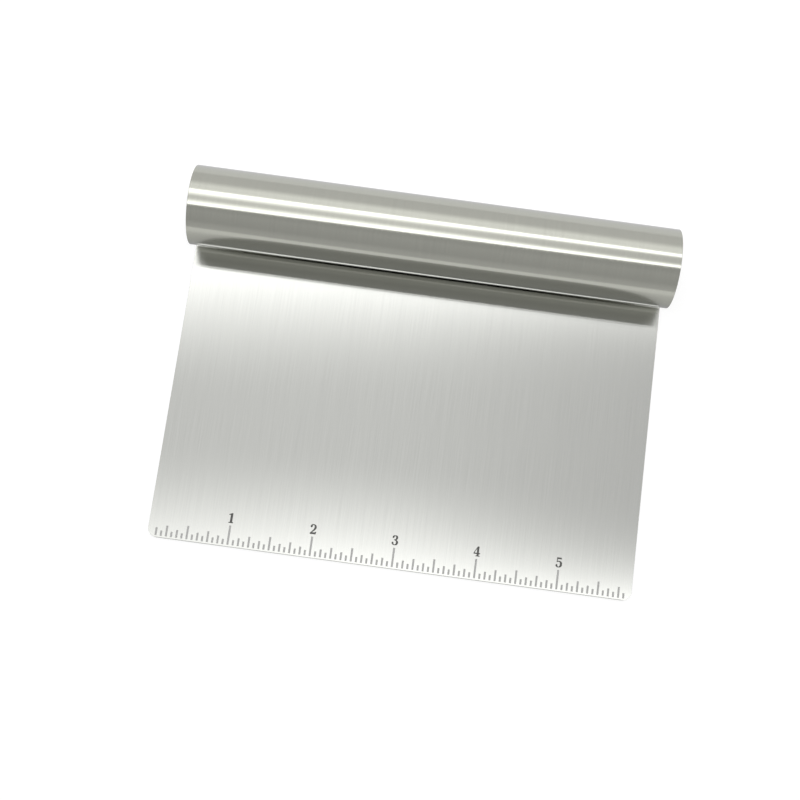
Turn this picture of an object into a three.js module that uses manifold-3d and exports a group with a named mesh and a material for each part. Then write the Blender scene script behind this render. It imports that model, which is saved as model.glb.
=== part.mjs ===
// Dough scraper: a flat steel blade with a handle rolled from sheet along its upper edge.
// Millimetres, +Z up. The scraper lies on its back: X runs along the handle, +Y from the
// scraping edge to the handle, and the origin is under the middle of its outline.

import * as THREE from 'three';
import { mergeVertices } from 'three/addons/utils/BufferGeometryUtils.js';
import Module from 'manifold-3d';

const wasm = await Module();
wasm.setup();

// Driving dimensions
const width = 149.5; // blade from side to side
const edgeToAxis = 103.3; // scraping edge to the handle's axis
const sheet = 1; // gauge of the blade and of the roll
const handleDiameter = 24.6;
const handleOverhang = 0.5; // roll past the blade's side, at each end
const lipGap = 3; // free lip of the roll above the blade's front face
const endFlat = 0.2; // left on the roll's cut ends between their two roundings
const weldWidth = 1.6;
const cornerRadius = 3; // lower corners of the blade
const bevelWidth = 0.1; // ground band along the scraping edge
const bevelDepth = 0.1; // steel ground off the front face at that edge

// Fineness of the round faces
const rollSteps = 72;
const lipSteps = 8;
const cornerSteps = 10;
const endSteps = 4;

// Sizes that follow
const handleRadius = handleDiameter / 2;
const boreRadius = handleRadius - sheet;
const wallRadius = handleRadius - sheet / 2;
const bladeTop = edgeToAxis - weldWidth;
const overallDepth = edgeToAxis + handleRadius;
const handleLength = width + 2 * handleOverhang;
const endRound = (sheet - endFlat) / 2;

const steel = (color, roughness) => new THREE.MeshStandardMaterial({ color, roughness, metalness: 1 });
const brushedBlade = steel(0xcdcec9, 0.38);
const polishedRoll = steel(0xc6c7c1, 0.2);
const groundWeld = steel(0xb0b0ac, 0.45);

function mesh(name, geometry, material) {
  const piece = new THREE.Mesh(geometry, material);
  piece.name = name;
  return piece;
}

function arc(x, y, radius, from, to, steps, clockwise = false) {
  return new THREE.EllipseCurve(x, y, radius, radius, from, to, clockwise).getPoints(steps);
}

// A section drawn in Y and Z, run along X and centred on it, with its edges rounded at both ends
function alongX(section, length, rounding = 0) {
  const geometry = new THREE.ExtrudeGeometry(section, {
    depth: length - 2 * rounding,
    bevelEnabled: rounding > 0,
    bevelThickness: rounding,
    bevelSize: rounding,
    bevelOffset: -rounding,
    bevelSegments: endSteps,
  });
  const turn = new THREE.Matrix4().makeBasis(
    new THREE.Vector3(0, 1, 0),
    new THREE.Vector3(0, 0, 1),
    new THREE.Vector3(1, 0, 0),
  );
  return geometry.applyMatrix4(turn).translate(rounding - length / 2, 0, 0);
}

function solid(geometry) {
  const bare = geometry.clone().deleteAttribute('normal').deleteAttribute('uv');
  const merged = mergeVertices(bare);
  return new wasm.Manifold(new wasm.Mesh({
    numProp: 3,
    vertProperties: new Float32Array(merged.attributes.position.array),
    triVerts: new Uint32Array(merged.index.array),
  }));
}

function geometryOf(body) {
  const { vertProperties, triVerts } = body.getMesh();
  const geometry = new THREE.BufferGeometry();
  geometry.setAttribute('position', new THREE.BufferAttribute(vertProperties, 3));
  geometry.setIndex(new THREE.BufferAttribute(triVerts, 1));
  return geometry;
}

// Flat plate with round lower corners, its scraping edge ground to a bevel on the front.
// The ground plane runs on past the edge and above the front face by one bevel.
function blade() {
  const side = width / 2;
  const cornerX = side - cornerRadius;
  const outline = new THREE.Shape([
    ...arc(-cornerX, cornerRadius, cornerRadius, Math.PI, 1.5 * Math.PI, cornerSteps),
    ...arc(cornerX, cornerRadius, cornerRadius, 1.5 * Math.PI, 2 * Math.PI, cornerSteps),
    new THREE.Vector2(side, bladeTop),
    new THREE.Vector2(-side, bladeTop),
  ]);
  const plate = new THREE.ExtrudeGeometry(outline, { depth: sheet, bevelEnabled: false });
  const clear = sheet + bevelDepth;
  const ground = new THREE.Shape([
    new THREE.Vector2(-bevelWidth, sheet - 2 * bevelDepth),
    new THREE.Vector2(2 * bevelWidth, clear),
    new THREE.Vector2(-bevelWidth, clear),
  ]);
  const bevel = alongX(ground, width + 2 * bevelWidth);
  return geometryOf(solid(plate).subtract(solid(bevel)));
}

// Ground-flush butt weld between the blade's upper edge and the start of the roll
function weldSeam() {
  const section = new THREE.Shape([
    new THREE.Vector2(bladeTop, 0),
    new THREE.Vector2(edgeToAxis, 0),
    new THREE.Vector2(edgeToAxis, sheet),
    new THREE.Vector2(bladeTop, sheet),
  ]);
  return alongX(section, width);
}

// Sheet rolled from the weld up the back, over the top and down the front, round the X axis.
// Its rounded free lip stops above the blade's front face, and its ends are open.
function rolledHandle() {
  const start = -Math.PI / 2;
  const lipHeight = sheet + lipGap + sheet / 2;
  const lip = 1.5 * Math.PI - Math.acos((handleRadius - lipHeight) / wallRadius);
  const lipY = wallRadius * Math.cos(lip);
  const lipZ = wallRadius * Math.sin(lip);
  const section = new THREE.Shape([
    ...arc(0, 0, handleRadius, start, lip, rollSteps),
    ...arc(lipY, lipZ, sheet / 2, lip, lip + Math.PI, lipSteps).slice(1, -1),
    ...arc(0, 0, boreRadius, lip, start, rollSteps, true),
  ]);
  return alongX(section, handleLength, endRound);
}

const handle = mesh('rolled_handle', rolledHandle(), polishedRoll);
handle.position.set(0, edgeToAxis, handleRadius);

const scraper = new THREE.Group();
scraper.position.y = -overallDepth / 2;
scraper.add(
  mesh('blade', blade(), brushedBlade),
  mesh('weld_seam', weldSeam(), groundWeld),
  handle,
);

export default scraper;
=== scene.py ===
"""Dough scraper: brushed sheet blade with an inch scale, and an open handle rolled from sheet."""

import math

import bmesh
import bpy
from bpy.props import FloatProperty, FloatVectorProperty, IntProperty, PointerProperty
from bpy.types import Operator, Panel, PropertyGroup
from mathutils import Matrix, Vector


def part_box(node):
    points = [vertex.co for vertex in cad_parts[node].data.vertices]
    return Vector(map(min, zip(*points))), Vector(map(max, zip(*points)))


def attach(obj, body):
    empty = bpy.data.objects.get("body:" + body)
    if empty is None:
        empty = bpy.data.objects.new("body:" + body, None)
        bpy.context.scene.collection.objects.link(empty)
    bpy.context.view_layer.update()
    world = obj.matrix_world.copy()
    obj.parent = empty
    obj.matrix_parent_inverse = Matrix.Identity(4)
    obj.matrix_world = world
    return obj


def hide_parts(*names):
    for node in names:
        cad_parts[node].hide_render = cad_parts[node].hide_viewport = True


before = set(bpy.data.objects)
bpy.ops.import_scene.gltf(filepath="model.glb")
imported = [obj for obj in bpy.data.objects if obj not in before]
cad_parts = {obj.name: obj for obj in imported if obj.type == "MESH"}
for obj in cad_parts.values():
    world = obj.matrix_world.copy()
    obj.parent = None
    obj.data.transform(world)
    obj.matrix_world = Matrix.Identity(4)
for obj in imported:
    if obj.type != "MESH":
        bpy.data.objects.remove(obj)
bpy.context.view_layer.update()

bl_info = {
    "name": "Dough Scraper",
    "version": (1, 0, 0),
    "blender": (4, 5, 0),
    "location": "View3D > Sidebar > Scraper",
    "description": "Models a steel dough scraper with a rolled handle and an inch scale",
    "category": "Object",
}

MM = 0.001
BODY = "root"
SHEET_MAP = "sheet"  # UV map of the rolled-out sheet, in metres

# Places that the CAD parts give
BLADE_LOW, BLADE_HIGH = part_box("blade")
WELD_LOW, WELD_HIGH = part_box("weld_seam")
ROLL_LOW, ROLL_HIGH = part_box("rolled_handle")
SHEET = BLADE_HIGH.z - BLADE_LOW.z
WIDTH = BLADE_HIGH.x - BLADE_LOW.x
HANDLE_LENGTH = ROLL_HIGH.x - ROLL_LOW.x
HANDLE_RADIUS = (ROLL_HIGH.z - ROLL_LOW.z) / 2
HANDLE_AXIS = (ROLL_LOW + ROLL_HIGH) / 2
ALONG_HANDLE = Vector((1, 0, 0))

# Fineness of the meshes
SHARP = math.radians(30)
MERGE = 1e-7
EDGE_SEGMENTS = 3
END_SEGMENTS = 5
LIP_SEGMENTS = 8

# Numerals one unit high, each a list of closed outlines. A point is across, up and round or sharp.
ROUND = "AUTO"
CRISP = "VECTOR"
NUMERALS = {
    1: [[(0.12, 0.00, CRISP), (0.58, 0.00, CRISP), (0.58, 0.09, CRISP), (0.48, 0.12, CRISP),
         (0.48, 1.00, CRISP), (0.37, 1.00, CRISP), (0.09, 0.87, CRISP), (0.09, 0.79, CRISP),
         (0.25, 0.82, CRISP), (0.25, 0.12, CRISP), (0.12, 0.09, CRISP)]],
    2: [[(0.05, 0.00, CRISP), (0.64, 0.00, CRISP), (0.69, 0.28, CRISP), (0.60, 0.28, CRISP),
         (0.50, 0.19, CRISP), (0.27, 0.19, CRISP), (0.56, 0.45, ROUND), (0.67, 0.72, ROUND),
         (0.57, 0.93, ROUND), (0.35, 1.00, ROUND), (0.13, 0.93, ROUND), (0.05, 0.77, ROUND),
         (0.13, 0.66, ROUND), (0.25, 0.73, ROUND), (0.27, 0.86, ROUND), (0.36, 0.91, ROUND),
         (0.45, 0.72, ROUND), (0.33, 0.43, ROUND), (0.05, 0.12, CRISP)]],
    3: [[(0.06, 0.79, ROUND), (0.14, 0.94, ROUND), (0.35, 1.00, ROUND), (0.56, 0.93, ROUND),
         (0.62, 0.76, ROUND), (0.57, 0.61, ROUND), (0.46, 0.54, CRISP), (0.61, 0.45, ROUND),
         (0.67, 0.27, ROUND), (0.58, 0.07, ROUND), (0.34, 0.00, ROUND), (0.12, 0.06, ROUND),
         (0.03, 0.22, ROUND), (0.12, 0.33, ROUND), (0.22, 0.25, ROUND), (0.24, 0.13, ROUND),
         (0.34, 0.09, ROUND), (0.45, 0.27, ROUND), (0.38, 0.46, ROUND), (0.23, 0.49, CRISP),
         (0.23, 0.57, CRISP), (0.36, 0.62, ROUND), (0.41, 0.76, ROUND), (0.34, 0.91, ROUND),
         (0.26, 0.86, ROUND), (0.23, 0.74, ROUND), (0.14, 0.69, ROUND)]],
    4: [[(0.38, 1.00, CRISP), (0.55, 1.00, CRISP), (0.55, 0.36, CRISP), (0.67, 0.36, CRISP),
         (0.67, 0.24, CRISP), (0.55, 0.24, CRISP), (0.55, 0.10, CRISP), (0.65, 0.08, CRISP),
         (0.65, 0.00, CRISP), (0.24, 0.00, CRISP), (0.24, 0.08, CRISP), (0.34, 0.10, CRISP),
         (0.34, 0.24, CRISP), (0.02, 0.24, CRISP), (0.02, 0.34, CRISP)],
        [(0.34, 0.36, CRISP), (0.34, 0.76, CRISP), (0.12, 0.36, CRISP)]],
    5: [[(0.12, 1.00, CRISP), (0.58, 1.00, CRISP), (0.60, 0.83, CRISP), (0.22, 0.83, CRISP),
         (0.20, 0.64, CRISP), (0.37, 0.67, ROUND), (0.60, 0.57, ROUND), (0.67, 0.34, ROUND),
         (0.58, 0.09, ROUND), (0.33, 0.00, ROUND), (0.11, 0.06, ROUND), (0.03, 0.21, ROUND),
         (0.12, 0.32, ROUND), (0.22, 0.24, ROUND), (0.24, 0.13, ROUND), (0.33, 0.09, ROUND),
         (0.45, 0.33, ROUND), (0.34, 0.57, ROUND), (0.21, 0.54, ROUND), (0.11, 0.48, CRISP)]],
}
NUMERAL_MIDDLE = 0.36
HALF_THICK = 0.5  # half the thickness of a numeral before it is scaled

# Sixteenths of an inch between marks of one height, from the shortest marks to the inch marks
MARK_STEPS = (1, 2, 4, 8, 16)
SIXTEENTHS = MARK_STEPS[-1]

# Brush strokes: noise per metre across and along them, and how far they change colour and roughness
NOISE_MIDDLE = (0.3, 0.7)  # where most of a noise value lies
STROKE_DETAIL = 3
STROKE_CONTRAST = 0.65
BROAD_SHARE = 0.25
SHEET_FINE = (4200, 45, 1)
SHEET_BROAD = (420, 9, 1)
SHEET_TONE = (0.968, 1.027)
SHEET_BLUR = (1.08, 0.92)
BUMP_STRENGTH = 0.12
BUMP_DEPTH = 0.01 * MM
WELD_FINE = (6000, 150, 1)
WELD_BROAD = (900, 60, 1)
WELD_TONE = (0.82, 1.1)
WELD_ROUGHNESS = (0.45, 0.32)

# Grit of the etched scale
GRIT_SCALE = 9000
GRIT_DETAIL = 2
GRIT_TONE = (0.7, 1.5)
GRIT_ROUGHNESS = (0.75, 0.55)

# Overhead light: a bright strip along its front and one along its back, and their glow between them.
# Places run from the middle of the scraper towards the handle.
PANEL_FRONT = -100 * MM
FRONT_STRIP = -56 * MM  # where the front strip ends and its glow begins
FRONT_GLOW = 55 * MM  # where that glow has faded
REAR_GLOW = 100 * MM  # where the glow of the rear strip begins
REAR_STRIP = 215 * MM
PANEL_BACK = 284 * MM
PANEL_HEIGHT = 500 * MM
PANEL_REACH = 460 * MM  # half its length along the handle
PANEL_SKEW = 0.115  # how far its front edge draws back for each length to the right
PANEL_BLEND = 190 * MM  # over which the middle turns into either side
STRIP_LIGHT = 2.8

# On the left, in the middle and on the right: light between the strips, and how steeply each glow fades
DIM_LIGHT = (0.97, 1.0, 0.77)
FRONT_FADE = (1.8, 1.3, 4.0)
REAR_FADE = (1.4, 2.2, 5.5)

# Walls of the studio: degrees from straight up, towards the handle where positive, and brightness
WALLS = [
    (-100, 0.55),
    (-77, 0.54),
    (-65, 0.46),
    (-37, 0.51),
    (-23, 0.45),
    (-13, 0.46),
    (13, 1.15),
    (42, 1.2),
    (56, 0.75),
    (100, 0.7),
]
WALLS_PEAK = 1.5
WALLS_SPAN = math.radians(100)
SIDE_WALLS = 0.27
SIDE_TURN = (0.5, 0.85)  # how far sideways a ray goes where the side walls begin and where they are full
HORIZON = 0.95
HORIZON_RISE = (0.01, 0.03)  # how far upwards a ray goes where the horizon ends and the walls begin
WHITE = 1.0

SENSOR_WIDTH = 36
CLIP_START = 0.01
CLIP_END = 100


def length(name, description, default):
    return FloatProperty(
        name=name, description=description, default=default, min=0, precision=5,
        subtype="DISTANCE", unit="LENGTH",
    )


def colour(name, description, default):
    return FloatVectorProperty(
        name=name, description=description, default=default, min=0, max=1, size=3, subtype="COLOR"
    )


def share(name, description, default):
    return FloatProperty(
        name=name, description=description, default=default, min=0, max=1, subtype="FACTOR"
    )


def count(name, description, default):
    return IntProperty(name=name, description=description, default=default, min=1)


class BladeSettings(PropertyGroup):
    """Sizes and finish of the blade."""

    corner_radius: length("Corner Radius", "Radius of the two lower corners", 3 * MM)
    corner_segments: count("Corner Segments", "Facets round a corner", 18)
    ground_width: length("Ground Width", "Height of the ground band along the scraping edge", 0.1 * MM)
    ground_depth: length("Ground Depth", "Steel ground off the front at the scraping edge", 0.1 * MM)
    edge_break: length("Edge Break", "Rounding of the cut edges", 0.04 * MM)
    steel: colour("Steel", "Colour of the brushed sheet", (0.545, 0.55, 0.527))
    roughness: share("Roughness", "Blur of the brushed sheet", 0.15)
    anisotropy: share("Anisotropy", "How much the brushing draws the blur across the strokes", 1.0)
    edge_tint: colour("Edge Tint", "Tint of what the sheet mirrors at a low angle", (1, 1, 1))


class HandleSettings(PropertyGroup):
    """Sizes and finish of the rolled handle and its weld."""

    lip_gap: length("Lip Gap", "Free lip of the roll above the blade's front face", 3 * MM)
    lip_round: length("Lip Rounding", "Rounding of the roll's free lip", 0.15 * MM)
    end_round: length("End Rounding", "Rounding of the roll's cut ends", 0.4 * MM)
    roll_steps: count("Roll Steps", "Facets round the roll", 176)
    steel: colour("Steel", "Colour of the polished roll", (0.54, 0.545, 0.488))
    roughness: share("Roughness", "Blur of the polished roll", 0.19)
    anisotropy: share("Anisotropy", "How much the polish draws the blur along the handle", 0.92)
    edge_tint: colour("Edge Tint", "Tint of what the roll mirrors at a low angle", (0.86, 0.86, 0.90))
    weld_steel: colour("Weld Steel", "Colour of the ground weld", (0.50, 0.50, 0.48))


class ScaleSettings(PropertyGroup):
    """Sizes and colour of the inch scale."""

    inch: length("Inch", "Distance between two numbered marks", 25.4 * MM)
    zero_outside: length("Zero Outside", "Zero of the scale beyond the blade's left side", 0.572 * MM)
    first_mark: count("First Mark", "Sixteenths of an inch at the first mark", 2)
    last_mark: count("Last Mark", "Sixteenths of an inch at the last mark", 93)
    mark_width: length("Mark Width", "Width of a mark", 0.62 * MM)
    mark_foot: length("Mark Foot", "Lower end of the marks above the scraping edge", 0.6 * MM)
    mark_tops: FloatVectorProperty(
        name="Mark Tops",
        description="Upper ends above the scraping edge: sixteenths, eighths, quarters, halves, inches",
        default=(2.25 * MM, 3.05 * MM, 3.95 * MM, 4.75 * MM, 6.6 * MM),
        size=5,
        precision=5,
        unit="LENGTH",
    )
    numeral_height: length("Numeral Height", "Height of a numeral", 3.1 * MM)
    numeral_gap: length("Numeral Gap", "Space between an inch mark and its numeral", 0.75 * MM)
    etch: length("Etch", "Thickness of the marks, half of it in the steel", 0.03 * MM)
    mark_ink: colour("Mark Ink", "Colour of the etched marks", (0.44, 0.44, 0.43))
    numeral_ink: colour("Numeral Ink", "Colour of the etched numerals", (0.09, 0.09, 0.085))


class StageSettings(PropertyGroup):
    """Camera, floor and light."""

    lens: FloatProperty(
        name="Lens", description="Focal length on a 36 mm sensor", default=54.08, min=1, unit="CAMERA"
    )
    camera_place: FloatVectorProperty(
        name="Camera Place",
        description="Where the camera stands",
        default=(-0.73 * MM, -83.13 * MM, 370.1 * MM),
        size=3,
        precision=5,
        subtype="XYZ",
        unit="LENGTH",
    )
    camera_turn: FloatVectorProperty(
        name="Camera Turn",
        description="Pitch, yaw and roll of the camera from looking straight down",
        default=(math.radians(10.104), math.radians(0.177), math.radians(7.741)),
        size=3,
        subtype="EULER",
        unit="ROTATION",
    )
    picture_shift: FloatProperty(
        name="Picture Shift",
        description="How far the picture lies below the lens axis, as a share of its side",
        default=0.0487,
    )
    floor_size: length("Floor Size", "Side of the square floor", 40.0)
    floor_gap: length("Floor Gap", "Floor below the blade's back face", 0.02 * MM)
    paper: colour("Paper", "Colour of the floor's paper", (0.30, 0.30, 0.30))
    glow: share("Glow", "White that the floor shows besides the light on it", 0.8)
    mirrored_glow: share("Mirrored Glow", "The same white as the steel mirrors it", 0.61)
    shaded_glow: share("Shaded Glow", "The same, from the shade in front of the handle", 0.30)


class ScraperSettings(PropertyGroup):
    """All settings of the scraper and its stage."""

    blade: PointerProperty(type=BladeSettings, name="Blade", description="The blade")
    handle: PointerProperty(type=HandleSettings, name="Handle", description="The handle")
    scale: PointerProperty(type=ScaleSettings, name="Scale", description="The inch scale")
    stage: PointerProperty(type=StageSettings, name="Stage", description="Camera, floor and light")


# Meshes

def recalculate(bm):
    bmesh.ops.remove_doubles(bm, verts=bm.verts[:], dist=MERGE)
    bmesh.ops.recalc_face_normals(bm, faces=bm.faces[:])


def round_edges(bm, edges, offset, segments):
    bmesh.ops.bevel(
        bm, geom=edges, offset=offset, offset_type="OFFSET", affect="EDGES",
        segments=segments, profile=0.5, material=-1, clamp_overlap=True,
    )


def sharp_edges(bm):
    return [edge for edge in bm.edges if edge.is_manifold and edge.calc_face_angle() > SHARP]


def shade_smooth(bm):
    for face in bm.faces:
        face.smooth = True
    for edge in sharp_edges(bm):
        edge.smooth = False


def object_of(bm, name, material):
    """Makes an object of a bmesh, at the origin."""
    if not bm.faces:
        raise RuntimeError(f"{name} has no faces")
    mesh = bpy.data.meshes.new(name)
    bm.to_mesh(mesh)
    bm.free()
    mesh.materials.append(material)
    made = bpy.data.objects.new(name, mesh)
    bpy.context.scene.collection.objects.link(made)
    return made


def finished_piece(bm, name, material, slot, *nodes):
    """Makes a piece that rides on the CAD body and stands for the given nodes."""
    piece = object_of(bm, name, material)
    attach(piece, BODY)
    if nodes:
        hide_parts(*nodes)


def rectangle(bm, width, depth, middle):
    bmesh.ops.create_grid(bm, x_segments=1, y_segments=1, size=0.5)
    bmesh.ops.scale(bm, vec=(width, depth, 1), verts=bm.verts[:])
    bmesh.ops.translate(bm, vec=middle, verts=bm.verts[:])


def thicken(bm, thickness):
    raised = bmesh.ops.extrude_face_region(bm, geom=bm.faces[:])["geom"]
    front = [part for part in raised if isinstance(part, bmesh.types.BMVert)]
    bmesh.ops.translate(bm, vec=(0, 0, thickness), verts=front)


def blade_mesh(sizes):
    bm = bmesh.new()
    middle = (BLADE_LOW + BLADE_HIGH) / 2
    rectangle(bm, WIDTH, BLADE_HIGH.y - BLADE_LOW.y, (middle.x, middle.y, BLADE_LOW.z))
    corners = [vert for vert in bm.verts if vert.co.y < middle.y]
    bmesh.ops.bevel(
        bm, geom=corners, offset=sizes.corner_radius, offset_type="OFFSET", affect="VERTICES",
        segments=sizes.corner_segments, profile=0.5, material=-1,
    )
    thicken(bm, SHEET)
    grind_edge(bm, sizes)
    recalculate(bm)
    top = BLADE_HIGH.y - MERGE
    cut = [edge for edge in sharp_edges(bm) if min(vert.co.y for vert in edge.verts) < top]
    round_edges(bm, cut, sizes.edge_break, EDGE_SEGMENTS)
    flat_area = SHEET * WIDTH
    for face in bm.faces:
        face.smooth = face.calc_area() < flat_area
    lay_out_blade(bm)
    return bm


def grind_edge(bm, sizes):
    """Cuts the bevel on the front of the scraping edge."""
    cut = bmesh.ops.bisect_plane(
        bm,
        geom=bm.verts[:] + bm.edges[:] + bm.faces[:],
        plane_co=(0, BLADE_LOW.y + sizes.ground_width, BLADE_HIGH.z),
        plane_no=(0, -sizes.ground_depth, sizes.ground_width),
        clear_outer=True,
    )["geom_cut"]
    rim = [part for part in cut if isinstance(part, bmesh.types.BMEdge)]
    bmesh.ops.edgeloop_fill(bm, edges=rim)


def lay_out_blade(bm):
    """Maps the blade as part of the sheet. The height keeps the thin sides from having no area."""
    layer = bm.loops.layers.uv.new(SHEET_MAP)
    for face in bm.faces:
        for loop in face.loops:
            point = loop.vert.co
            loop[layer].uv = (point.x + point.z, point.y - BLADE_LOW.y - point.z)


def roll_mesh(sizes):
    wall = HANDLE_RADIUS - SHEET / 2
    lip_height = SHEET + sizes.lip_gap + SHEET / 2
    open_angle = math.acos((HANDLE_RADIUS - lip_height) / wall)
    bm = bmesh.new()
    rectangle(bm, HANDLE_LENGTH, SHEET, (0, 0, 0))
    upright = Matrix.Rotation(math.pi / 2, 3, ALONG_HANDLE)
    bmesh.ops.rotate(bm, cent=(0, 0, 0), matrix=upright, verts=bm.verts[:])
    bmesh.ops.translate(bm, vec=(0, HANDLE_AXIS.y, SHEET / 2), verts=bm.verts[:])
    last = bmesh.ops.spin(
        bm,
        geom=bm.verts[:] + bm.edges[:] + bm.faces[:],
        cent=HANDLE_AXIS,
        axis=ALONG_HANDLE,
        angle=2 * math.pi - open_angle + SHEET / 2 / wall,
        steps=sizes.roll_steps,
        use_duplicate=False,
    )["geom_last"]
    lip = [part for part in last if isinstance(part, bmesh.types.BMEdge)]
    lip = [edge for edge in lip if edge.calc_length() > WIDTH / 2]
    recalculate(bm)
    round_edges(bm, lip, sizes.lip_round, LIP_SEGMENTS)
    ends = [edge for edge in sharp_edges(bm) if abs(edge.verts[0].co.x - edge.verts[1].co.x) < MERGE]
    round_edges(bm, ends, sizes.end_round, END_SEGMENTS)
    shade_smooth(bm)
    lay_out_roll(bm)
    return bm


def lay_out_roll(bm):
    """Maps the roll as part of the sheet. The depth keeps the thin ends from having no area."""
    layer = bm.loops.layers.uv.new(SHEET_MAP)
    flat = HANDLE_AXIS.y - BLADE_LOW.y
    for face in bm.faces:
        for loop in face.loops:
            out = loop.vert.co - HANDLE_AXIS
            depth = HANDLE_RADIUS - math.hypot(out.y, out.z)
            turn = (math.atan2(out.z, out.y) + math.pi / 2 + MERGE) % (2 * math.pi)
            loop[layer].uv = (out.x + depth, flat + turn * HANDLE_RADIUS)


def weld_mesh():
    bm = bmesh.new()
    size = WELD_HIGH - WELD_LOW
    rectangle(bm, size.x, size.y, (0, (WELD_LOW.y + WELD_HIGH.y) / 2, WELD_LOW.z))
    thicken(bm, size.z)
    recalculate(bm)
    return bm


def mark_top(sizes, sixteenth):
    """Upper end of a mark above the scraping edge, by the largest fraction that it stands for."""
    for place, step in enumerate(MARK_STEPS):
        if sixteenth % step == 0:
            top = sizes.mark_tops[place]
    return top


def scale_place(sizes, inches):
    return BLADE_LOW.x - sizes.zero_outside + inches * sizes.inch


def marks_mesh(sizes):
    bm = bmesh.new()
    for sixteenth in range(sizes.first_mark, sizes.last_mark + 1):
        top = mark_top(sizes, sixteenth)
        middle = BLADE_LOW.y + (sizes.mark_foot + top) / 2
        place = Matrix.Translation((scale_place(sizes, sixteenth / SIXTEENTHS), middle, BLADE_HIGH.z))
        size = Matrix.Diagonal((sizes.mark_width, top - sizes.mark_foot, sizes.etch, 1))
        bmesh.ops.create_cube(bm, size=1, matrix=place @ size)
    return bm


def numeral_curve(digit):
    """A filled curve of one numeral, one unit high and thick, standing on the base line."""
    curve = bpy.data.curves.new(f"numeral_{digit}", "CURVE")
    curve.dimensions = "2D"
    curve.fill_mode = "BOTH"
    curve.extrude = HALF_THICK
    for outline in NUMERALS[digit]:
        spline = curve.splines.new("BEZIER")
        spline.bezier_points.add(len(outline) - 1)
        spline.use_cyclic_u = True
        for point, (across, up, handle) in zip(spline.bezier_points, outline):
            point.co = (across - NUMERAL_MIDDLE, up, 0)
            point.handle_left_type = handle
            point.handle_right_type = handle
    return curve


def numerals_mesh(sizes):
    bm = bmesh.new()
    for digit in NUMERALS:
        curve = numeral_curve(digit)
        drawn = bpy.data.objects.new(curve.name, curve)
        bpy.context.scene.collection.objects.link(drawn)
        bpy.context.view_layer.update()
        graph = bpy.context.evaluated_depsgraph_get()
        mesh = bpy.data.meshes.new_from_object(drawn.evaluated_get(graph))
        foot = BLADE_LOW.y + sizes.mark_tops[-1] + sizes.numeral_gap
        place = Matrix.Translation((scale_place(sizes, digit), foot, BLADE_HIGH.z))
        size = Matrix.Diagonal((sizes.numeral_height, sizes.numeral_height, sizes.etch, 1))
        mesh.transform(place @ size)
        bm.from_mesh(mesh)
        bpy.data.objects.remove(drawn)
        bpy.data.curves.remove(curve)
        bpy.data.meshes.remove(mesh)
    recalculate(bm)
    return bm


# Finishes

def node_of(tree, kind, place, **values):
    node = tree.nodes.new(kind)
    node.location = place
    for name, value in values.items():
        setattr(node, name, value)
    return node


def streak_group():
    """Brush strokes along the second coordinate of a map: how light they are and how deep."""
    name = "brush_strokes"
    if name in bpy.data.node_groups:
        return bpy.data.node_groups[name]
    group = bpy.data.node_groups.new(name, "ShaderNodeTree")
    group.interface.new_socket("Map", in_out="INPUT", socket_type="NodeSocketVector")
    group.interface.new_socket("Fine", in_out="INPUT", socket_type="NodeSocketVector")
    group.interface.new_socket("Broad", in_out="INPUT", socket_type="NodeSocketVector")
    group.interface.new_socket("Tone", in_out="OUTPUT", socket_type="NodeSocketFloat")
    group.interface.new_socket("Depth", in_out="OUTPUT", socket_type="NodeSocketFloat")
    start = node_of(group, "NodeGroupInput", (-700, 0))
    end = node_of(group, "NodeGroupOutput", (500, 0))
    layers = []
    for row, socket in enumerate(("Fine", "Broad")):
        spread = node_of(group, "ShaderNodeVectorMath", (-450, -250 * row), operation="MULTIPLY")
        noise = node_of(group, "ShaderNodeTexNoise", (-220, -250 * row), noise_dimensions="2D")
        noise.inputs["Scale"].default_value = 1
        noise.inputs["Detail"].default_value = STROKE_DETAIL
        noise.inputs["Roughness"].default_value = STROKE_CONTRAST
        group.links.new(start.outputs["Map"], spread.inputs[0])
        group.links.new(start.outputs[socket], spread.inputs[1])
        group.links.new(spread.outputs["Vector"], noise.inputs["Vector"])
        layers.append(noise)
    tone = node_of(group, "ShaderNodeMix", (200, 100), data_type="FLOAT")
    tone.inputs["Factor"].default_value = BROAD_SHARE
    group.links.new(layers[0].outputs["Fac"], tone.inputs["A"])
    group.links.new(layers[1].outputs["Fac"], tone.inputs["B"])
    group.links.new(tone.outputs["Result"], end.inputs["Tone"])
    group.links.new(layers[0].outputs["Fac"], end.inputs["Depth"])
    return group


def tone_range(tree, value, place, low, high):
    """Spreads the middle of a noise value over a range."""
    node = node_of(tree, "ShaderNodeMapRange", place)
    node.inputs["From Min"].default_value = NOISE_MIDDLE[0]
    node.inputs["From Max"].default_value = NOISE_MIDDLE[1]
    node.inputs["To Min"].default_value = low
    node.inputs["To Max"].default_value = high
    tree.links.new(value, node.inputs["Value"])
    return node.outputs["Result"]


def shaded(tree, steel, value, place, low, high):
    """A steel colour made darker and lighter by a noise value."""
    node = node_of(tree, "ShaderNodeVectorMath", place, operation="SCALE")
    node.inputs[0].default_value = steel
    tree.links.new(tone_range(tree, value, (place[0] - 200, place[1]), low, high), node.inputs["Scale"])
    return node.outputs["Vector"]


def new_material(name):
    material = bpy.data.materials.new(name)
    material.use_nodes = True
    return material, material.node_tree, material.node_tree.nodes["Principled BSDF"]


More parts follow.
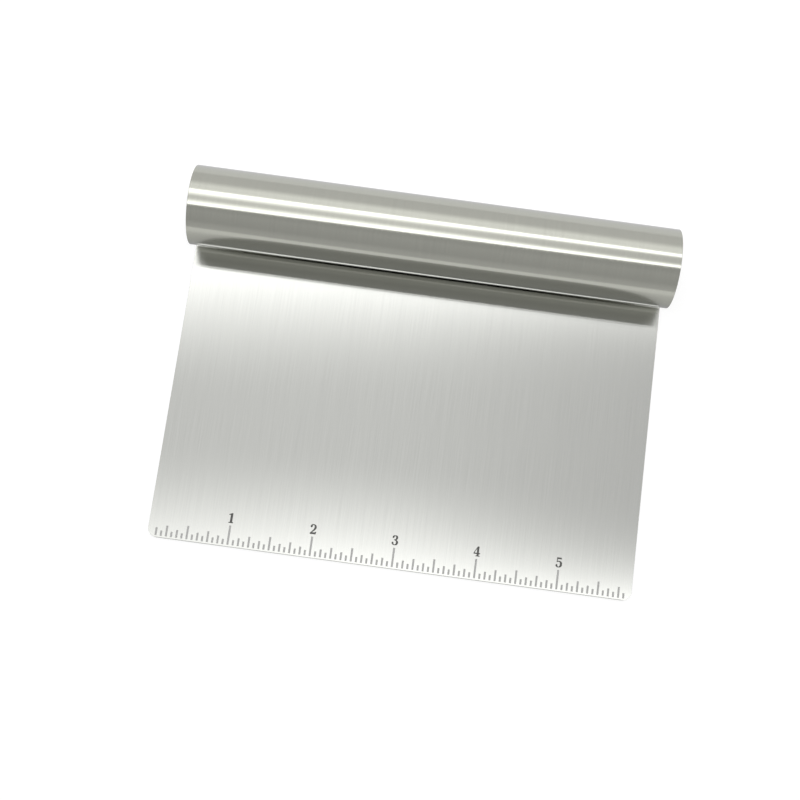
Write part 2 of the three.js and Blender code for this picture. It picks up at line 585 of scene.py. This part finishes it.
def brushed_sheet(name, finish):
    """Steel sheet brushed from the scraping edge to the handle and on round the roll."""
    material, tree, shader = new_material(name)
    strokes_map = node_of(tree, "ShaderNodeUVMap", (-1100, 0), uv_map=SHEET_MAP)
    strokes = node_of(tree, "ShaderNodeGroup", (-900, 0), node_tree=streak_group())
    strokes.inputs["Fine"].default_value = SHEET_FINE
    strokes.inputs["Broad"].default_value = SHEET_BROAD
    tree.links.new(strokes_map.outputs["UV"], strokes.inputs["Map"])
    tone = strokes.outputs["Tone"]
    steel = shaded(tree, finish.steel, tone, (-300, 200), *SHEET_TONE)
    tree.links.new(steel, shader.inputs["Base Color"])
    blur = tone_range(tree, tone, (-500, -50), *[finish.roughness * factor for factor in SHEET_BLUR])
    tree.links.new(blur, shader.inputs["Roughness"])
    bump = node_of(tree, "ShaderNodeBump", (-300, -300))
    bump.inputs["Strength"].default_value = BUMP_STRENGTH
    bump.inputs["Distance"].default_value = BUMP_DEPTH
    tree.links.new(strokes.outputs["Depth"], bump.inputs["Height"])
    tree.links.new(bump.outputs["Normal"], shader.inputs["Normal"])
    across = node_of(tree, "ShaderNodeTangent", (-300, -500), direction_type="UV_MAP", uv_map=SHEET_MAP)
    tree.links.new(across.outputs["Tangent"], shader.inputs["Tangent"])
    shader.inputs["Metallic"].default_value = 1
    shader.inputs["Anisotropic"].default_value = finish.anisotropy
    shader.inputs["Specular Tint"].default_value = (*finish.edge_tint, 1)
    return material


def ground_steel(steel):
    """Weld metal ground flush along its length."""
    material, tree, shader = new_material("ground_weld_steel")
    place = node_of(tree, "ShaderNodeTexCoord", (-1300, 0))
    turn = node_of(tree, "ShaderNodeMapping", (-1120, 0))
    turn.inputs["Rotation"].default_value = (0, 0, math.pi / 2)
    strokes = node_of(tree, "ShaderNodeGroup", (-900, 0), node_tree=streak_group())
    strokes.inputs["Fine"].default_value = WELD_FINE
    strokes.inputs["Broad"].default_value = WELD_BROAD
    tree.links.new(place.outputs["Object"], turn.inputs["Vector"])
    tree.links.new(turn.outputs["Vector"], strokes.inputs["Map"])
    tone = strokes.outputs["Tone"]
    tree.links.new(shaded(tree, steel, tone, (-300, 200), *WELD_TONE), shader.inputs["Base Color"])
    tree.links.new(tone_range(tree, tone, (-500, -50), *WELD_ROUGHNESS), shader.inputs["Roughness"])
    shader.inputs["Metallic"].default_value = 1
    return material


def etched_ink(name, ink):
    """Matt etch with a fine grit."""
    material, tree, shader = new_material(name)
    place = node_of(tree, "ShaderNodeTexCoord", (-1100, 0))
    grit = node_of(tree, "ShaderNodeTexNoise", (-900, 0))
    grit.inputs["Scale"].default_value = GRIT_SCALE
    grit.inputs["Detail"].default_value = GRIT_DETAIL
    tree.links.new(place.outputs["Object"], grit.inputs["Vector"])
    grain = grit.outputs["Fac"]
    tree.links.new(shaded(tree, ink, grain, (-300, 200), *GRIT_TONE), shader.inputs["Base Color"])
    tree.links.new(tone_range(tree, grain, (-500, -50), *GRIT_ROUGHNESS), shader.inputs["Roughness"])
    return material


def floor_shade(tree, sizes):
    """How bright the steel mirrors the floor: darker in the shade in front of the handle."""
    depth = ROLL_HIGH.y - BLADE_LOW.y
    stops = [
        (0, sizes.mirrored_glow),
        ((ROLL_LOW.y - BLADE_LOW.y) / depth, sizes.shaded_glow),
        (1, sizes.mirrored_glow),
    ]
    place = node_of(tree, "ShaderNodeTexCoord", (-1500, -300))
    axes = node_of(tree, "ShaderNodeSeparateXYZ", (-1300, -300))
    tree.links.new(place.outputs["Object"], axes.inputs["Vector"])
    ramp = brightness_ramp(tree, (-900, -300), stops, sizes.glow)
    along = ranged(tree, axes.outputs["Y"], (-1100, -300), BLADE_LOW.y, ROLL_HIGH.y)
    tree.links.new(along, ramp.inputs["Fac"])
    return ramp.outputs["Color"]


def floor_paper(sizes):
    """White paper that keeps the shadow, and lets the underside of the scraper be seen from below."""
    material = bpy.data.materials.new("floor_paper")
    material.use_nodes = True
    tree = material.node_tree
    tree.nodes.clear()
    matt = node_of(tree, "ShaderNodeBsdfDiffuse", (-200, 200))
    matt.inputs["Color"].default_value = (*sizes.paper, 1)
    light = node_of(tree, "ShaderNodeEmission", (-200, 0))
    path = node_of(tree, "ShaderNodeLightPath", (-900, 0))
    mirrored = node_of(tree, "ShaderNodeMath", (-700, -100), operation="MAXIMUM")
    dimmed = node_of(tree, "ShaderNodeMath", (-550, -100), operation="MULTIPLY")
    tree.links.new(floor_shade(tree, sizes), dimmed.inputs[1])
    seen = node_of(tree, "ShaderNodeMath", (-400, 0), operation="MAXIMUM")
    bright = node_of(tree, "ShaderNodeMath", (-300, -150), operation="MULTIPLY")
    bright.inputs[1].default_value = sizes.glow
    both = node_of(tree, "ShaderNodeAddShader", (0, 100))
    sides = node_of(tree, "ShaderNodeNewGeometry", (-200, 400))
    clear = node_of(tree, "ShaderNodeBsdfTransparent", (0, -50))
    mixed = node_of(tree, "ShaderNodeMixShader", (200, 100))
    out = node_of(tree, "ShaderNodeOutputMaterial", (400, 100))
    tree.links.new(path.outputs["Is Glossy Ray"], mirrored.inputs[0])
    tree.links.new(path.outputs["Is Transmission Ray"], mirrored.inputs[1])
    tree.links.new(mirrored.outputs["Value"], dimmed.inputs[0])
    tree.links.new(path.outputs["Is Camera Ray"], seen.inputs[0])
    tree.links.new(dimmed.outputs["Value"], seen.inputs[1])
    tree.links.new(seen.outputs["Value"], bright.inputs[0])
    tree.links.new(bright.outputs["Value"], light.inputs["Strength"])
    tree.links.new(matt.outputs["BSDF"], both.inputs[0])
    tree.links.new(light.outputs["Emission"], both.inputs[1])
    tree.links.new(sides.outputs["Backfacing"], mixed.inputs["Fac"])
    tree.links.new(both.outputs["Shader"], mixed.inputs[1])
    tree.links.new(clear.outputs["BSDF"], mixed.inputs[2])
    tree.links.new(mixed.outputs["Shader"], out.inputs["Surface"])
    return material


# Stage

def brightness_ramp(tree, place, stops, peak):
    """A ramp over places from 0 to 1, as shares of the peak brightness."""
    ramp = node_of(tree, "ShaderNodeValToRGB", place)
    elements = ramp.color_ramp.elements
    elements.remove(elements[-1])
    for number, (position, bright) in enumerate(stops):
        element = elements[0] if number == 0 else elements.new(position)
        element.position = position
        element.color = (*[bright / peak] * 3, 1)
    return ramp


def ranged(tree, value, place, low, high, kind="LINEAR"):
    """Runs from 0 to 1 while a value goes from low to high."""
    node = node_of(tree, "ShaderNodeMapRange", place, interpolation_type=kind)
    node.inputs["From Min"].default_value = low
    node.inputs["From Max"].default_value = high
    tree.links.new(value, node.inputs["Value"])
    return node.outputs["Result"]


def mixed_colour(tree, factor, first, second, place):
    node = node_of(tree, "ShaderNodeMix", place, data_type="RGBA")
    tree.links.new(factor, node.inputs["Factor"])
    for socket, value in (("A", first), ("B", second)):
        if isinstance(value, float):
            node.inputs[socket].default_value = (value, value, value, 1)
        else:
            tree.links.new(value, node.inputs[socket])
    return node.outputs["Result"]


def light_walls():
    """A room that only the steel mirrors: darker in front and at the sides. The camera sees white."""
    world = bpy.data.worlds.new("studio")
    world.use_nodes = True
    bpy.context.scene.world = world
    tree = world.node_tree
    background = tree.nodes["Background"]
    place = node_of(tree, "ShaderNodeTexCoord", (-1400, 0))
    axes = node_of(tree, "ShaderNodeSeparateXYZ", (-1200, 0))
    turn = node_of(tree, "ShaderNodeMath", (-1000, 200), operation="ARCTAN2")
    sideways = node_of(tree, "ShaderNodeMath", (-1000, 0), operation="ABSOLUTE")
    tree.links.new(place.outputs["Generated"], axes.inputs["Vector"])
    tree.links.new(axes.outputs["Y"], turn.inputs[0])
    tree.links.new(axes.outputs["Z"], turn.inputs[1])
    tree.links.new(axes.outputs["X"], sideways.inputs[0])
    stops = [((math.radians(angle) / WALLS_SPAN + 1) / 2, bright) for angle, bright in WALLS]
    ramp = brightness_ramp(tree, (-600, 200), stops, WALLS_PEAK)
    angle = ranged(tree, turn.outputs["Value"], (-800, 200), -WALLS_SPAN, WALLS_SPAN)
    tree.links.new(angle, ramp.inputs["Fac"])
    side = ranged(tree, sideways.outputs["Value"], (-800, 0), *SIDE_TURN, "SMOOTHSTEP")
    walls = mixed_colour(tree, side, ramp.outputs["Color"], SIDE_WALLS / WALLS_PEAK, (-300, 100))
    high = ranged(tree, axes.outputs["Z"], (-800, -200), *HORIZON_RISE, "SMOOTHSTEP")
    room = mixed_colour(tree, high, HORIZON / WALLS_PEAK, walls, (-100, 0))
    path = node_of(tree, "ShaderNodeLightPath", (-300, -300))
    seen = mixed_colour(tree, path.outputs["Is Camera Ray"], room, WHITE / WALLS_PEAK, (100, 0))
    tree.links.new(seen, background.inputs["Color"])
    background.inputs["Strength"].default_value = WALLS_PEAK


def across_panel(tree, factors, values, place):
    """A value that runs from the left over the middle to the right of the panel."""
    left, middle, right = values
    left_half = node_of(tree, "ShaderNodeMix", place, data_type="FLOAT")
    left_half.inputs["A"].default_value = left
    left_half.inputs["B"].default_value = middle
    whole = node_of(tree, "ShaderNodeMix", (place[0] + 180, place[1]), data_type="FLOAT")
    whole.inputs["B"].default_value = right
    tree.links.new(left_half.outputs["Result"], whole.inputs["A"])
    for node, factor in zip((left_half, whole), factors):
        tree.links.new(factor, node.inputs["Factor"])
    return whole.outputs["Result"]


def faded(tree, nearness, fade, place):
    """Glow of a strip, from 0 where it has faded to 1 at the strip."""
    node = node_of(tree, "ShaderNodeMath", place, operation="POWER")
    tree.links.new(nearness, node.inputs[0])
    tree.links.new(fade, node.inputs[1])
    return node.outputs["Value"]


def panel_glow():
    """Light of the overhead panel, darker on the right, where the glow of its strips fades sooner."""
    material = bpy.data.materials.new("panel_glow")
    material.use_nodes = True
    tree = material.node_tree
    tree.nodes.clear()
    place = node_of(tree, "ShaderNodeTexCoord", (-1800, 0))
    axes = node_of(tree, "ShaderNodeSeparateXYZ", (-1600, 0))
    front = node_of(tree, "ShaderNodeMath", (-1400, 200), operation="MULTIPLY_ADD")
    front.inputs[1].default_value = PANEL_SKEW
    front.inputs[2].default_value = PANEL_FRONT
    depth = node_of(tree, "ShaderNodeMapRange", (-1200, 100))
    depth.inputs["From Max"].default_value = PANEL_BACK
    depth.inputs["To Min"].default_value = PANEL_FRONT
    depth.inputs["To Max"].default_value = PANEL_BACK
    tree.links.new(place.outputs["Object"], axes.inputs["Vector"])
    tree.links.new(axes.outputs["X"], front.inputs[0])
    tree.links.new(front.outputs["Value"], depth.inputs["From Min"])
    tree.links.new(axes.outputs["Y"], depth.inputs["Value"])
    halves = (
        ranged(tree, axes.outputs["X"], (-1200, -300), -PANEL_BLEND, 0),
        ranged(tree, axes.outputs["X"], (-1200, -600), 0, PANEL_BLEND),
    )
    near_front = ranged(tree, depth.outputs["Result"], (-900, 300), FRONT_GLOW, FRONT_STRIP)
    near_back = ranged(tree, depth.outputs["Result"], (-900, 0), REAR_GLOW, REAR_STRIP)
    front_fade = across_panel(tree, halves, FRONT_FADE, (-900, -300))
    rear_fade = across_panel(tree, halves, REAR_FADE, (-900, -550))
    front_glow = faded(tree, near_front, front_fade, (-500, 300))
    rear_glow = faded(tree, near_back, rear_fade, (-500, 0))
    glow = node_of(tree, "ShaderNodeMath", (-300, 200), operation="ADD")
    tree.links.new(front_glow, glow.inputs[0])
    tree.links.new(rear_glow, glow.inputs[1])
    bright = node_of(tree, "ShaderNodeMix", (-150, 0), data_type="FLOAT")
    bright.inputs["B"].default_value = STRIP_LIGHT
    tree.links.new(glow.outputs["Value"], bright.inputs["Factor"])
    tree.links.new(across_panel(tree, halves, DIM_LIGHT, (-900, -800)), bright.inputs["A"])
    light = node_of(tree, "ShaderNodeEmission", (50, 0))
    tree.links.new(bright.outputs["Result"], light.inputs["Strength"])
    out = node_of(tree, "ShaderNodeOutputMaterial", (250, 0))
    tree.links.new(light.outputs["Emission"], out.inputs["Surface"])
    return material


def hang_panel():
    middle = (PANEL_FRONT + PANEL_BACK) / 2
    bm = bmesh.new()
    rectangle(bm, 2 * PANEL_REACH, PANEL_BACK - PANEL_FRONT, (0, middle, PANEL_HEIGHT))
    for vert in bm.verts:
        if vert.co.y < middle:
            vert.co.y += PANEL_SKEW * vert.co.x
    panel = stage_piece(bm, "light_panel", panel_glow())
    panel.visible_camera = False


def stage_piece(bm, name, material):
    piece = object_of(bm, name, material)
    return piece


def lay_floor(sizes):
    bm = bmesh.new()
    rectangle(bm, sizes.floor_size, sizes.floor_size, (0, 0, BLADE_LOW.z - sizes.floor_gap))
    stage_piece(bm, "floor", floor_paper(sizes))


def place_camera(sizes):
    data = bpy.data.cameras.new("camera")
    data.sensor_width = SENSOR_WIDTH
    data.lens = sizes.lens
    data.shift_y = sizes.picture_shift
    data.clip_start = CLIP_START
    data.clip_end = CLIP_END
    camera = bpy.data.objects.new("camera", data)
    camera.rotation_mode = "ZXY"
    camera.rotation_euler = sizes.camera_turn
    camera.location = sizes.camera_place
    bpy.context.scene.collection.objects.link(camera)
    bpy.context.scene.camera = camera


# Operators

class SCRAPER_OT_blade(Operator):
    """Models the brushed blade with its round corners and ground edge"""

    bl_idname = "scraper.blade"
    bl_label = "Blade"

    def execute(self, context):
        sizes = context.scene.dough_scraper.blade
        steel = brushed_sheet("brushed_blade_steel", sizes)
        finished_piece(blade_mesh(sizes), "scraper_blade", steel, "brushed_blade", "blade")
        return {"FINISHED"}


class SCRAPER_OT_roll(Operator):
    """Rolls the handle out of sheet, with its free lip above the blade"""

    bl_idname = "scraper.roll"
    bl_label = "Handle Roll"

    def execute(self, context):
        sizes = context.scene.dough_scraper.handle
        steel = brushed_sheet("polished_roll_steel", sizes)
        finished_piece(roll_mesh(sizes), "handle_roll", steel, "polished_roll", "rolled_handle")
        return {"FINISHED"}


class SCRAPER_OT_weld(Operator):
    """Lays the ground weld between the blade and the roll"""

    bl_idname = "scraper.weld"
    bl_label = "Weld"

    def execute(self, context):
        steel = ground_steel(context.scene.dough_scraper.handle.weld_steel)
        finished_piece(weld_mesh(), "seam_weld", steel, "ground_weld", "weld_seam")
        return {"FINISHED"}


class SCRAPER_OT_scale(Operator):
    """Etches the marks and numerals of the inch scale"""

    bl_idname = "scraper.scale"
    bl_label = "Inch Scale"

    def execute(self, context):
        sizes = context.scene.dough_scraper.scale
        pale = etched_ink("etched_mark_ink", sizes.mark_ink)
        dark = etched_ink("etched_numeral_ink", sizes.numeral_ink)
        finished_piece(marks_mesh(sizes), "scale_marks", pale, "etched_scale")
        finished_piece(numerals_mesh(sizes), "scale_numerals", dark, "etched_scale")
        return {"FINISHED"}


class SCRAPER_OT_stage(Operator):
    """Sets the floor, the light and the camera"""

    bl_idname = "scraper.stage"
    bl_label = "Stage"

    def execute(self, context):
        context.scene.view_settings.view_transform = "Standard"
        sizes = context.scene.dough_scraper.stage
        light_walls()
        hang_panel()
        lay_floor(sizes)
        place_camera(sizes)
        return {"FINISHED"}


class SCRAPER_PT_sidebar(Panel):
    """Lists the steps that make the scraper"""

    bl_label = "Dough Scraper"
    bl_idname = "SCRAPER_PT_sidebar"
    bl_space_type = "VIEW_3D"
    bl_region_type = "UI"
    bl_category = "Scraper"

    def draw(self, context):
        column = self.layout.column(align=True)
        for step in STEPS:
            column.operator(step.bl_idname)
        for group in ("blade", "handle", "scale", "stage"):
            settings = getattr(context.scene.dough_scraper, group)
            box = self.layout.box()
            box.label(text=group.capitalize())
            for name in settings.__annotations__:
                box.prop(settings, name)


STEPS = (
    SCRAPER_OT_blade,
    SCRAPER_OT_roll,
    SCRAPER_OT_weld,
    SCRAPER_OT_scale,
    SCRAPER_OT_stage,
)
SETTINGS = (BladeSettings, HandleSettings, ScaleSettings, StageSettings, ScraperSettings)
CLASSES = (*SETTINGS, *STEPS, SCRAPER_PT_sidebar)


def register():
    for cls in CLASSES:
        bpy.utils.register_class(cls)
    bpy.types.Scene.dough_scraper = PointerProperty(
        type=ScraperSettings, name="Dough Scraper", description="Sizes and finishes of the scraper"
    )


def unregister():
    del bpy.types.Scene.dough_scraper
    for cls in reversed(CLASSES):
        bpy.utils.unregister_class(cls)


def main():
    register()
    bpy.ops.scraper.blade()
    bpy.ops.scraper.roll()
    bpy.ops.scraper.weld()
    bpy.ops.scraper.scale()
    bpy.ops.scraper.stage()


if __name__ == "__main__":
    main()
